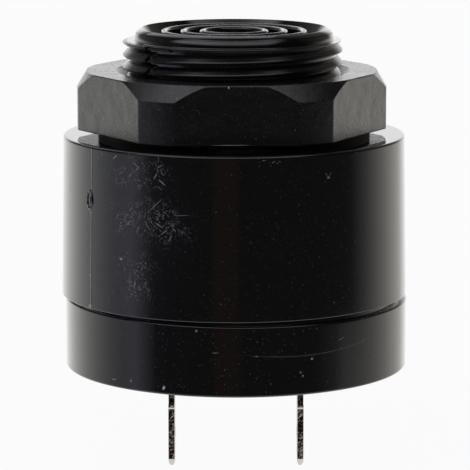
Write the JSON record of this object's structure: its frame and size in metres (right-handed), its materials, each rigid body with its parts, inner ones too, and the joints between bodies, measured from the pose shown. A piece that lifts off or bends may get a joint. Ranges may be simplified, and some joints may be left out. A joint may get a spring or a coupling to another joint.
{
  "type": "piezo buzzer",
  "caption": "Panel-mount piezo buzzer: round black body with a threaded nose, ringed sound outlet, hexagon panel nut, rear cover and flat quick-connect blades.",
  "frame": {"origin": "on the axis of the threaded nose, in the plane of the rear cover's back face", "axes": "+Z along the nose towards the sound outlet; the blades point along -Z and stand side by side along X"},
  "size_m": [0.0438, 0.0438, 0.0558],
  "materials": {
    "housing_plastic": "black moulded plastic, satin gloss with fine scuffs",
    "nut_plastic": "black moulded plastic, fine spark-eroded texture",
    "cover_plastic": "black moulded plastic, satin gloss with fine scuffs",
    "tinned_brass": "bright tin plate over stamped brass, duller on the sheared edges",
    "disc_brass": "rolled brass",
    "silvered_ceramic": "fired silver over piezo ceramic",
    "silicone": "white silicone bead",
    "board_laminate": "green glass-epoxy laminate",
    "capacitor_can": "drawn aluminium can",
    "ferrite": "sintered ferrite",
    "winding_copper": "enamelled copper wire",
    "package_black": "moulded black epoxy",
    "chip_ceramic": "glazed alumina chip",
    "chip_tan": "fired ceramic chip",
    "wire_black": "black wire insulation",
    "wire_red": "red wire insulation",
    "wire_blue": "blue wire insulation",
    "solder": "tin solder"
  },
  "bodies": {
    "root": {"housing": "housing_plastic", "panel_nut": "nut_plastic", "rear_cover": "cover_plastic", "positive_blade": "tinned_brass", "negative_blade": "tinned_brass", "brass_disc": "disc_brass", "ceramic_disc": "silvered_ceramic", "disc_sealant": "silicone", "circuit_board": "board_laminate", "supply_capacitor": "capacitor_can", "choke_core": "ferrite", "choke_winding": "winding_copper", "driver_transistor": "package_black", "oscillator_transistor": "package_black", "polarity_diode": "package_black", "base_resistor": "chip_ceramic", "feedback_resistor": "chip_ceramic", "supply_resistor": "chip_ceramic", "timing_capacitor": "chip_tan", "brass_wire": "wire_black", "electrode_wire": "wire_red", "feedback_wire": "wire_blue", "positive_solder": "solder", "negative_solder": "solder", "brass_solder": "solder", "electrode_solder": "solder", "feedback_solder": "solder"}
  },
  "joints": []
}
